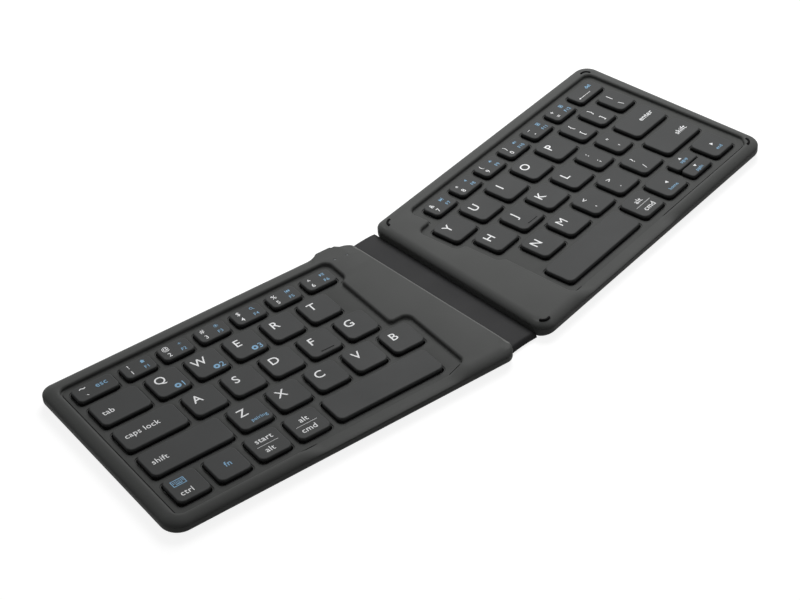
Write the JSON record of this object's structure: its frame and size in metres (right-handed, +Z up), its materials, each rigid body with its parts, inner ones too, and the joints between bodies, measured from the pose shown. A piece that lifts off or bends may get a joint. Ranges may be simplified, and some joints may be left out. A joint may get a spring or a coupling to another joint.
{
  "type": "folding keyboard",
  "caption": "Wireless keyboard in two angled halves that fold face to face about a rubber-skinned spine, with low square keys in sunken wells.",
  "frame": {"origin": "centre of the footprint's box, at the underside of the feet", "axes": "+X across the keys to the right, +Y from the space bars towards the number row, +Z up from the desk"},
  "size_m": [0.3341, 0.1187, 0.0077],
  "materials": {
    "cover_plastic": "fine matte grain",
    "key_plastic": "matte",
    "spine_rubber": "smooth matte",
    "dome_rubber": "satin",
    "foot_rubber": "matte",
    "pin_steel": "drawn",
    "sheet_steel": "rolled",
    "screw_steel": "blackened",
    "socket_steel": "satin",
    "cable_film": "amber film",
    "membrane_film": "printed film",
    "link_plastic": "natural nylon",
    "board_green": "solder mask",
    "battery_foil": "foil pouch",
    "light_pipe": "clear"
  },
  "bodies": {
    "left_half": {"left_top_cover": "cover_plastic", "left_bottom_cover": "cover_plastic", "left_hinge_pin": "pin_steel", "flex_cable": "cable_film", "left_key_plate": "sheet_steel", "left_membrane": "membrane_film", "left_scissor_links": "link_plastic", "left_rubber_domes": "dome_rubber", "circuit_board": "board_green", "charging_socket": "socket_steel", "status_lights": "light_pipe", "left_feet": "foot_rubber", "left_screws": "screw_steel"},
    "spine": {"spine_link": "sheet_steel", "spine_skin": "spine_rubber"},
    "right_half": {"right_top_cover": "cover_plastic", "right_bottom_cover": "cover_plastic", "right_hinge_pin": "pin_steel", "right_key_plate": "sheet_steel", "right_membrane": "membrane_film", "right_scissor_links": "link_plastic", "right_rubber_domes": "dome_rubber", "battery": "battery_foil", "corner_bumpers": "foot_rubber", "right_feet": "foot_rubber", "right_screws": "screw_steel"},
    "key_q": {"key_q": "key_plastic"},
    "key_w": {"key_w": "key_plastic"},
    "key_e": {"key_e": "key_plastic"},
    "key_r": {"key_r": "key_plastic"},
    "key_t": {"key_t": "key_plastic"},
    "key_a": {"key_a": "key_plastic"},
    "key_s": {"key_s": "key_plastic"},
    "key_d": {"key_d": "key_plastic"},
    "key_f": {"key_f": "key_plastic"},
    "key_g": {"key_g": "key_plastic"},
    "key_z": {"key_z": "key_plastic"},
    "key_x": {"key_x": "key_plastic"},
    "key_c": {"key_c": "key_plastic"},
    "key_v": {"key_v": "key_plastic"},
    "key_b": {"key_b": "key_plastic"},
    "key_space_left": {"key_space_left": "key_plastic"},
    "keys_numbers_left": {"keys_numbers_left": "key_plastic"},
    "keys_modifiers_left": {"keys_modifiers_left": "key_plastic"},
    "key_y": {"key_y": "key_plastic"},
    "key_u": {"key_u": "key_plastic"},
    "key_i": {"key_i": "key_plastic"},
    "key_o": {"key_o": "key_plastic"},
    "key_p": {"key_p": "key_plastic"},
    "key_h": {"key_h": "key_plastic"},
    "key_j": {"key_j": "key_plastic"},
    "key_k": {"key_k": "key_plastic"},
    "key_l": {"key_l": "key_plastic"},
    "key_n": {"key_n": "key_plastic"},
    "key_m": {"key_m": "key_plastic"},
    "key_space_right": {"key_space_right": "key_plastic"},
    "key_enter": {"key_enter": "key_plastic"},
    "keys_numbers_right": {"keys_numbers_right": "key_plastic"},
    "keys_symbols_right": {"keys_symbols_right": "key_plastic"},
    "keys_arrows": {"keys_arrows": "key_plastic"}
  },
  "joints": [
    {"name": "fold_left", "type": "hinge", "parent": "spine", "child": "left_half", "pos_m": [-0.006, 0, 0.00185], "axis": [0, 1, 0], "range_deg": [0, 90], "deforming": ["spine_skin", "flex_cable"]},
    {"name": "fold_right", "type": "hinge", "parent": "spine", "child": "right_half", "pos_m": [0.006, 0, 0.00185], "axis": [0, -1, 0], "range_deg": [0, 90], "deforming": ["spine_skin", "flex_cable"]},
    {"name": "press_q", "type": "slide", "parent": "left_half", "child": "key_q", "axis": [0, 0, -1], "range_m": [0, 0.0015], "stiffness_N_per_m": 200, "springref_m": -0.0003, "deforming": ["left_scissor_links", "left_rubber_domes"]},
    {"name": "press_w", "type": "slide", "parent": "left_half", "child": "key_w", "axis": [0, 0, -1], "range_m": [0, 0.0015], "stiffness_N_per_m": 200, "springref_m": -0.0003, "deforming": ["left_scissor_links", "left_rubber_domes"]},
    {"name": "press_e", "type": "slide", "parent": "left_half", "child": "key_e", "axis": [0, 0, -1], "range_m": [0, 0.0015], "stiffness_N_per_m": 200, "springref_m": -0.0003, "deforming": ["left_scissor_links", "left_rubber_domes"]},
    {"name": "press_r", "type": "slide", "parent": "left_half", "child": "key_r", "axis": [0, 0, -1], "range_m": [0, 0.0015], "stiffness_N_per_m": 200, "springref_m": -0.0003, "deforming": ["left_scissor_links", "left_rubber_domes"]},
    {"name": "press_t", "type": "slide", "parent": "left_half", "child": "key_t", "axis": [0, 0, -1], "range_m": [0, 0.0015], "stiffness_N_per_m": 200, "springref_m": -0.0003, "deforming": ["left_scissor_links", "left_rubber_domes"]},
    {"name": "press_a", "type": "slide", "parent": "left_half", "child": "key_a", "axis": [0, 0, -1], "range_m": [0, 0.0015], "stiffness_N_per_m": 200, "springref_m": -0.0003, "deforming": ["left_scissor_links", "left_rubber_domes"]},
    {"name": "press_s", "type": "slide", "parent": "left_half", "child": "key_s", "axis": [0, 0, -1], "range_m": [0, 0.0015], "stiffness_N_per_m": 200, "springref_m": -0.0003, "deforming": ["left_scissor_links", "left_rubber_domes"]},
    {"name": "press_d", "type": "slide", "parent": "left_half", "child": "key_d", "axis": [0, 0, -1], "range_m": [0, 0.0015], "stiffness_N_per_m": 200, "springref_m": -0.0003, "deforming": ["left_scissor_links", "left_rubber_domes"]},
    {"name": "press_f", "type": "slide", "parent": "left_half", "child": "key_f", "axis": [0, 0, -1], "range_m": [0, 0.0015], "stiffness_N_per_m": 200, "springref_m": -0.0003, "deforming": ["left_scissor_links", "left_rubber_domes"]},
    {"name": "press_g", "type": "slide", "parent": "left_half", "child": "key_g", "axis": [0, 0, -1], "range_m": [0, 0.0015], "stiffness_N_per_m": 200, "springref_m": -0.0003, "deforming": ["left_scissor_links", "left_rubber_domes"]},
    {"name": "press_z", "type": "slide", "parent": "left_half", "child": "key_z", "axis": [0, 0, -1], "range_m": [0, 0.0015], "stiffness_N_per_m": 200, "springref_m": -0.0003, "deforming": ["left_scissor_links", "left_rubber_domes"]},
    {"name": "press_x", "type": "slide", "parent": "left_half", "child": "key_x", "axis": [0, 0, -1], "range_m": [0, 0.0015], "stiffness_N_per_m": 200, "springref_m": -0.0003, "deforming": ["left_scissor_links", "left_rubber_domes"]},
    {"name": "press_c", "type": "slide", "parent": "left_half", "child": "key_c", "axis": [0, 0, -1], "range_m": [0, 0.0015], "stiffness_N_per_m": 200, "springref_m": -0.0003, "deforming": ["left_scissor_links", "left_rubber_domes"]},
    {"name": "press_v", "type": "slide", "parent": "left_half", "child": "key_v", "axis": [0, 0, -1], "range_m": [0, 0.0015], "stiffness_N_per_m": 200, "springref_m": -0.0003, "deforming": ["left_scissor_links", "left_rubber_domes"]},
    {"name": "press_b", "type": "slide", "parent": "left_half", "child": "key_b", "axis": [0, 0, -1], "range_m": [0, 0.0015], "stiffness_N_per_m": 200, "springref_m": -0.0003, "deforming": ["left_scissor_links", "left_rubber_domes"]},
    {"name": "press_space_left", "type": "slide", "parent": "left_half", "child": "key_space_left", "axis": [0, 0, -1], "range_m": [0, 0.0015], "stiffness_N_per_m": 200, "springref_m": -0.0003, "deforming": ["left_scissor_links", "left_rubber_domes"]},
    {"name": "press_numbers_left", "type": "slide", "parent": "left_half", "child": "keys_numbers_left", "axis": [0, 0, -1], "range_m": [0, 0.0015], "stiffness_N_per_m": 200, "springref_m": -0.0003, "deforming": ["left_scissor_links", "left_rubber_domes"]},
    {"name": "press_modifiers_left", "type": "slide", "parent": "left_half", "child": "keys_modifiers_left", "axis": [0, 0, -1], "range_m": [0, 0.0015], "stiffness_N_per_m": 200, "springref_m": -0.0003, "deforming": ["left_scissor_links", "left_rubber_domes"]},
    {"name": "press_y", "type": "slide", "parent": "right_half", "child": "key_y", "axis": [0, 0, -1], "range_m": [0, 0.0015], "stiffness_N_per_m": 200, "springref_m": -0.0003, "deforming": ["right_scissor_links", "right_rubber_domes"]},
    {"name": "press_u", "type": "slide", "parent": "right_half", "child": "key_u", "axis": [0, 0, -1], "range_m": [0, 0.0015], "stiffness_N_per_m": 200, "springref_m": -0.0003, "deforming": ["right_scissor_links", "right_rubber_domes"]},
    {"name": "press_i", "type": "slide", "parent": "right_half", "child": "key_i", "axis": [0, 0, -1], "range_m": [0, 0.0015], "stiffness_N_per_m": 200, "springref_m": -0.0003, "deforming": ["right_scissor_links", "right_rubber_domes"]},
    {"name": "press_o", "type": "slide", "parent": "right_half", "child": "key_o", "axis": [0, 0, -1], "range_m": [0, 0.0015], "stiffness_N_per_m": 200, "springref_m": -0.0003, "deforming": ["right_scissor_links", "right_rubber_domes"]},
    {"name": "press_p", "type": "slide", "parent": "right_half", "child": "key_p", "axis": [0, 0, -1], "range_m": [0, 0.0015], "stiffness_N_per_m": 200, "springref_m": -0.0003, "deforming": ["right_scissor_links", "right_rubber_domes"]},
    {"name": "press_h", "type": "slide", "parent": "right_half", "child": "key_h", "axis": [0, 0, -1], "range_m": [0, 0.0015], "stiffness_N_per_m": 200, "springref_m": -0.0003, "deforming": ["right_scissor_links", "right_rubber_domes"]},
    {"name": "press_j", "type": "slide", "parent": "right_half", "child": "key_j", "axis": [0, 0, -1], "range_m": [0, 0.0015], "stiffness_N_per_m": 200, "springref_m": -0.0003, "deforming": ["right_scissor_links", "right_rubber_domes"]},
    {"name": "press_k", "type": "slide", "parent": "right_half", "child": "key_k", "axis": [0, 0, -1], "range_m": [0, 0.0015], "stiffness_N_per_m": 200, "springref_m": -0.0003, "deforming": ["right_scissor_links", "right_rubber_domes"]},
    {"name": "press_l", "type": "slide", "parent": "right_half", "child": "key_l", "axis": [0, 0, -1], "range_m": [0, 0.0015], "stiffness_N_per_m": 200, "springref_m": -0.0003, "deforming": ["right_scissor_links", "right_rubber_domes"]},
    {"name": "press_n", "type": "slide", "parent": "right_half", "child": "key_n", "axis": [0, 0, -1], "range_m": [0, 0.0015], "stiffness_N_per_m": 200, "springref_m": -0.0003, "deforming": ["right_scissor_links", "right_rubber_domes"]},
    {"name": "press_m", "type": "slide", "parent": "right_half", "child": "key_m", "axis": [0, 0, -1], "range_m": [0, 0.0015], "stiffness_N_per_m": 200, "springref_m": -0.0003, "deforming": ["right_scissor_links", "right_rubber_domes"]},
    {"name": "press_space_right", "type": "slide", "parent": "right_half", "child": "key_space_right", "axis": [0, 0, -1], "range_m": [0, 0.0015], "stiffness_N_per_m": 200, "springref_m": -0.0003, "deforming": ["right_scissor_links", "right_rubber_domes"]},
    {"name": "press_enter", "type": "slide", "parent": "right_half", "child": "key_enter", "axis": [0, 0, -1], "range_m": [0, 0.0015], "stiffness_N_per_m": 200, "springref_m": -0.0003, "deforming": ["right_scissor_links", "right_rubber_domes"]},
    {"name": "press_numbers_right", "type": "slide", "parent": "right_half", "child": "keys_numbers_right", "axis": [0, 0, -1], "range_m": [0, 0.0015], "stiffness_N_per_m": 200, "springref_m": -0.0003, "deforming": ["right_scissor_links", "right_rubber_domes"]},
    {"name": "press_symbols_right", "type": "slide", "parent": "right_half", "child": "keys_symbols_right", "axis": [0, 0, -1], "range_m": [0, 0.0015], "stiffness_N_per_m": 200, "springref_m": -0.0003, "deforming": ["right_scissor_links", "right_rubber_domes"]},
    {"name": "press_arrows", "type": "slide", "parent": "right_half", "child": "keys_arrows", "axis": [0, 0, -1], "range_m": [0, 0.0015], "stiffness_N_per_m": 200, "springref_m": -0.0003, "deforming": ["right_scissor_links", "right_rubber_domes"]}
  ],
  "couplings": [
    {"joint": "fold_right", "follows": "fold_left", "ratio": 1}
  ]
}
